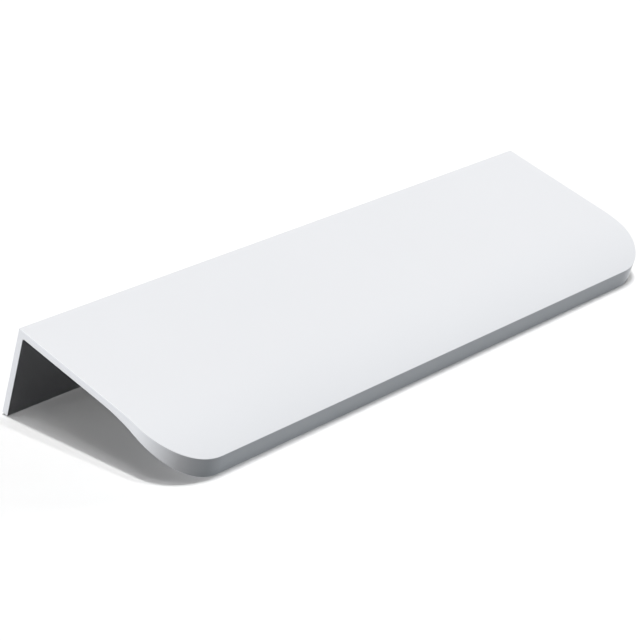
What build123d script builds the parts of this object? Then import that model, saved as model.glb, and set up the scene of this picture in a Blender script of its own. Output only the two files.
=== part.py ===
from build123d import *
import os
from math import atan2, cos, sin, sqrt

# White edge pull for a drawer front or a cupboard door.
# It is one extruded aluminium section, sawn to length, with its two front
# corners milled round and two screw holes drilled through its rear leg.
# The origin is on the floor, under the middle of the handle as it lies there.
# X runs along the handle, and its nose points towards -Y.

# Sizes of the stock, in millimetres
handle_length = 150.0
plate_depth = 43.6       # back of the leg to the front of the nose
leg_height = 19.5        # top of the plate to the foot of the leg
wall = 1.5               # leg and flat part of the plate

# The nose, which is the thick front of the plate
nose_height = 4.3        # its front face
crown_length = 16.0      # stretch of the top that rolls down to the nose
crown_radius = 40.0
grip_radius = 36.5       # hollow underside, where the fingers pull

# Corners and edges
corner_radius = 11.1     # the two front corners, seen from above
edge_radius = 0.1        # every outer edge, eased before the coat
heel_radius = 0.4        # inside corner between plate and leg

# Screw holes, halfway down the inside of the leg
hole_diameter = 4.2
hole_spacing = 96.0

# The section is drawn with depth counted forward from the back of the leg,
# and height counted up from the top of the plate.
crown_start = plate_depth - crown_length
crown_foot = sqrt(crown_radius**2 - crown_length**2) - crown_radius
nose_foot = crown_foot - nose_height
grip_drop = -wall - nose_foot
grip_start = plate_depth - sqrt(2 * grip_radius * grip_drop - grip_drop**2)
hole_height = -(wall + leg_height) / 2

# Centres of the roundings along four long edges of the section
rear_depth = edge_radius
foot_depth = wall - edge_radius
foot_height = edge_radius - leg_height
nose_depth = plate_depth - edge_radius
nose_top_height = sqrt(
    (crown_radius - edge_radius) ** 2 - (nose_depth - crown_start) ** 2
) - crown_radius
nose_foot_height = sqrt(
    (grip_radius + edge_radius) ** 2 - (nose_depth - grip_start) ** 2
) - grip_radius - wall

# Unheld, the handle lies on the foot of its leg and on the lower edge of its
# nose. Both are rounded alike, so the floor runs parallel to the line between
# the centres of their roundings.
rest_angle = atan2(nose_foot_height - foot_height, nose_depth - foot_depth)
forward = Vector(0, -cos(rest_angle), -sin(rest_angle))
upward = Vector(0, -sin(rest_angle), cos(rest_angle))

# The section's zero point stands where the handle touches the floor and lies
# centred over the origin.
foot_point = forward * foot_depth + upward * foot_height
rear_point = forward * rear_depth + upward * foot_height
nose_point = forward * nose_depth + upward * nose_top_height
zero_point = Vector(0, -(rear_point.Y + nose_point.Y) / 2, edge_radius - foot_point.Z)

section_plane = Plane(zero_point, x_dir=forward, z_dir=(-1, 0, 0))
plate_plane = Plane(zero_point, x_dir=(1, 0, 0), z_dir=upward)
leg_plane = Plane(zero_point + upward * hole_height, x_dir=(1, 0, 0), z_dir=-forward)

with BuildPart() as handle_profile:
    # Extruded section: leg, plate and nose in one
    with BuildSketch(section_plane):
        with BuildLine():
            plate_top = Line((0, 0), (crown_start, 0))
            crown = TangentArc(plate_top @ 1, (plate_depth, crown_foot), tangent=plate_top % 1)
            Line(crown @ 1, (plate_depth, nose_foot))
            grip = TangentArc((grip_start, -wall), (plate_depth, nose_foot), tangent=(1, 0))
            heel = FilletPolyline(grip @ 0, (wall, -wall), (wall, -leg_height), radius=heel_radius)
            Polyline(heel @ 1, (0, -leg_height), (0, 0))
        make_face()
    extrude(amount=handle_length / 2, both=True)

    # Front corners, milled round through the whole nose
    with BuildSketch(plate_plane):
        plan = Rectangle(handle_length, plate_depth, align=(Align.CENTER, Align.MAX))
        fillet(plan.vertices().group_by(Axis.Y)[0], radius=corner_radius)
    extrude(amount=leg_height, both=True, mode=Mode.INTERSECT)

    # Edges eased all round
    fillet(handle_profile.edges(), radius=edge_radius)

    # Screw holes, drilled through the leg
    with Locations(leg_plane):
        with GridLocations(hole_spacing, 0, 2, 1):
            Hole(radius=hole_diameter / 2, depth=wall)

handle_profile.part.label = "handle_profile"

os.makedirs("parts", exist_ok=True)
export_step(handle_profile.part, "parts/handle_profile.step")
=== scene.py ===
import bpy
from math import cos, pi, radians, sin
from mathutils import Matrix, Vector

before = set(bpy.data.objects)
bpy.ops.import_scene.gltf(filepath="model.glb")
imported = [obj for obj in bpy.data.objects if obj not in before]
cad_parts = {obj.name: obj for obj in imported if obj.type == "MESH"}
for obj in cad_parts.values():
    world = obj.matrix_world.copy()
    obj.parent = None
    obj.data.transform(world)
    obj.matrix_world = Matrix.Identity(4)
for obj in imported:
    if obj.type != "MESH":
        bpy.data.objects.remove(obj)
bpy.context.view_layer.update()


# Handle profile.
# One extruded aluminium section with milled front corners and two drilled screw
# holes, coated all over with white satin powder. Nothing is fixed to it.

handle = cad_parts["handle_profile"]

coat_white = (0.832, 0.838, 0.859, 1.0)
coat_white_thin = (0.812, 0.818, 0.839, 1.0)
coat_roughness = 0.42
roughness_change = 0.04
cloud_size = 0.03            # slow changes of colour and gloss across the coat
cloud_low = 0.3              # the noise stays mostly between these two values
cloud_high = 0.7
flow_size = 0.0016           # the low waves that powder leaves as it melts and flows
flow_height = 0.000004
grain_size = 0.00035
grain_height = 0.0000012


def powder_coat(name):
    """White powder coat: an even colour, a satin gloss and a faint orange peel."""
    coat = bpy.data.materials.new(name)
    coat.use_nodes = True
    nodes = coat.node_tree.nodes
    links = coat.node_tree.links
    shader = nodes["Principled BSDF"]
    place = nodes.new("ShaderNodeTexCoord")

    def noise(size, detail):
        texture = nodes.new("ShaderNodeTexNoise")
        texture.inputs["Scale"].default_value = 1 / size
        texture.inputs["Detail"].default_value = detail
        links.new(place.outputs["Object"], texture.inputs["Vector"])
        return texture.outputs["Fac"]

    def relief(height_map, height):
        bump = nodes.new("ShaderNodeBump")
        bump.inputs["Distance"].default_value = height
        links.new(height_map, bump.inputs["Height"])
        return bump

    cloud = noise(cloud_size, detail=3.0)
    tint = nodes.new("ShaderNodeMix")
    tint.data_type = "RGBA"
    tint.inputs["A"].default_value = coat_white_thin
    tint.inputs["B"].default_value = coat_white
    links.new(cloud, tint.inputs["Factor"])
    links.new(tint.outputs["Result"], shader.inputs["Base Color"])

    gloss = nodes.new("ShaderNodeMapRange")
    gloss.inputs["From Min"].default_value = cloud_low
    gloss.inputs["From Max"].default_value = cloud_high
    gloss.inputs["To Min"].default_value = coat_roughness - roughness_change
    gloss.inputs["To Max"].default_value = coat_roughness + roughness_change
    links.new(cloud, gloss.inputs["Value"])
    links.new(gloss.outputs["Result"], shader.inputs["Roughness"])

    waves = relief(noise(flow_size, detail=1.0), flow_height)
    grain = relief(noise(grain_size, detail=2.0), grain_height)
    links.new(waves.outputs["Normal"], grain.inputs["Normal"])
    links.new(grain.outputs["Normal"], shader.inputs["Normal"])
    return coat


handle.data.materials.clear()
handle.data.materials.append(powder_coat("white_powder_coat"))


# Floor.
# A plain pale sheet under the handle. It shows white, keeps the handle's shadow
# and throws little light back up.

floor_size = 6.0
floor_drop = 0.0001                       # keeps it clear of the handle's foot
floor_shown = (0.95, 0.95, 0.95, 1.0)
floor_haze = (0.08, 0.08, 0.08, 1.0)      # keeps the deepest shadow from going black
floor_bounce = (0.04, 0.04, 0.04, 1.0)


def seen_directly(nodes, links):
    """One for rays from the camera and for mirrored ones, and zero for all others."""
    ray = nodes.new("ShaderNodeLightPath")
    either = nodes.new("ShaderNodeMath")
    either.operation = "MAXIMUM"
    links.new(ray.outputs["Is Camera Ray"], either.inputs[0])
    links.new(ray.outputs["Is Glossy Ray"], either.inputs[1])
    return either.outputs["Value"]


def floor_paper(name):
    """Pale paper: white where it is looked at or mirrored, dull where it lights the handle."""
    paper = bpy.data.materials.new(name)
    paper.use_nodes = True
    nodes = paper.node_tree.nodes
    links = paper.node_tree.links
    nodes.clear()
    surface = nodes.new("ShaderNodeOutputMaterial")
    dull = nodes.new("ShaderNodeBsdfDiffuse")
    dull.inputs["Color"].default_value = floor_bounce
    white = nodes.new("ShaderNodeBsdfDiffuse")
    white.inputs["Color"].default_value = floor_shown
    choice = nodes.new("ShaderNodeMixShader")
    links.new(seen_directly(nodes, links), choice.inputs["Fac"])
    links.new(dull.outputs["BSDF"], choice.inputs[1])
    links.new(white.outputs["BSDF"], choice.inputs[2])

    ray = nodes.new("ShaderNodeLightPath")
    haze = nodes.new("ShaderNodeEmission")
    haze.inputs["Color"].default_value = floor_haze
    links.new(ray.outputs["Is Camera Ray"], haze.inputs["Strength"])
    hazy = nodes.new("ShaderNodeAddShader")
    links.new(choice.outputs["Shader"], hazy.inputs[0])
    links.new(haze.outputs["Emission"], hazy.inputs[1])
    links.new(hazy.outputs["Shader"], surface.inputs["Surface"])
    return paper


half = floor_size / 2
floor_corners = [(-half, -half, 0), (half, -half, 0), (half, half, 0), (-half, half, 0)]
floor_mesh = bpy.data.meshes.new("floor")
floor_mesh.from_pydata(floor_corners, [], [(0, 1, 2, 3)])
floor_mesh.materials.append(floor_paper("pale_paper"))
floor = bpy.data.objects.new("floor", floor_mesh)
floor.location.z = -floor_drop
bpy.context.scene.collection.objects.link(floor)


# Light.
# Lamps far away, with strengths fitted to the tones of the photo. The overhead ones
# make the white plate and the shadow under it. Low ones light the sawn end and the nose.

white_light = (1.0, 1.0, 1.0)
window_light = (0.97, 0.985, 1.0)
cool_light = (0.85, 0.935, 1.0)
warm_light = (1.0, 0.973, 0.934)


def soft_light(name, bearing, height, strength, spread, colour=white_light, glare=True):
    """A broad lamp far away. Bearing is clockwise from the front, seen from above.

    At strength 1 a white sheet that faces the lamp shows full white. A lamp without glare
    lights the coat but isn't mirrored in it, which keeps the plate from clipping.
    """
    lamp = bpy.data.lights.new(name, "SUN")
    lamp.energy = strength * pi
    lamp.angle = radians(spread)
    lamp.color = colour
    holder = bpy.data.objects.new(name, lamp)
    holder.visible_glossy = glare
    across = cos(radians(height))
    left = sin(radians(bearing)) * across
    front = cos(radians(bearing)) * across
    towards = Vector((-left, -front, sin(radians(height))))
    holder.rotation_euler = towards.to_track_quat("Z", "Y").to_euler()
    bpy.context.scene.collection.objects.link(holder)


soft_light("overhead_front", 0, 86, 0.210, 3)
soft_light("overhead_rear", 180, 86, 0.275, 3, glare=False)
soft_light("overhead_left", 90, 86, 0.068, 3, glare=False)
soft_light("left_high", 90, 77, 0.035, 3)
soft_light("front_left_high", 45, 77, 0.059, 3)
soft_light("front_right_high", 315, 77, 0.160, 3)
soft_light("front_left_middle", 45, 65, 0.066, 14)
soft_light("right_middle", 285, 20, 0.182, 14, glare=False)
soft_light("left_rear_low", 135, 3, 0.340, 8, window_light)
soft_light("left_low", 120, 3, 0.188, 8, window_light)
soft_light("left_front_low", 105, 3, 0.462, 8, window_light)
soft_light("right_low", 270, 3, 0.596, 8, warm_light, glare=False)
soft_light("front_right_low", 315, 3, 0.325, 8, cool_light, glare=False)


# Backdrop.
# Plain white all round. It shows, and it is mirrored in the coat, but lights nothing.

backdrop_colour = (1.0, 1.0, 1.0, 1.0)

world = bpy.data.worlds.new("studio")
world.use_nodes = True
backdrop_nodes = world.node_tree.nodes
backdrop_links = world.node_tree.links
backdrop = backdrop_nodes["Background"]
backdrop.inputs["Color"].default_value = backdrop_colour
backdrop_links.new(seen_directly(backdrop_nodes, backdrop_links), backdrop.inputs["Strength"])
bpy.context.scene.world = world


# Camera.
# It stands low at the near left end and looks along the handle, as the photo does.

camera_place = Vector((-0.30514, -0.25038, 0.1724))
camera_aim = Vector((-0.01981, -0.00701, 0.0121))
camera_roll = radians(2.298)
sensor_width = 36.0          # millimetres, as is the focal length
focal_length = 117.75375
nearest_seen = 0.01

lens = bpy.data.cameras.new("camera")
lens.sensor_width = sensor_width
lens.lens = focal_length
lens.clip_start = nearest_seen
camera = bpy.data.objects.new("camera", lens)
look = (camera_aim - camera_place).to_track_quat("-Z", "Y").to_matrix().to_4x4()
roll = Matrix.Rotation(camera_roll, 4, "Z")
camera.matrix_world = Matrix.Translation(camera_place) @ look @ roll
bpy.context.scene.collection.objects.link(camera)
bpy.context.scene.camera = camera
bpy.context.scene.view_settings.view_transform = "Standard"
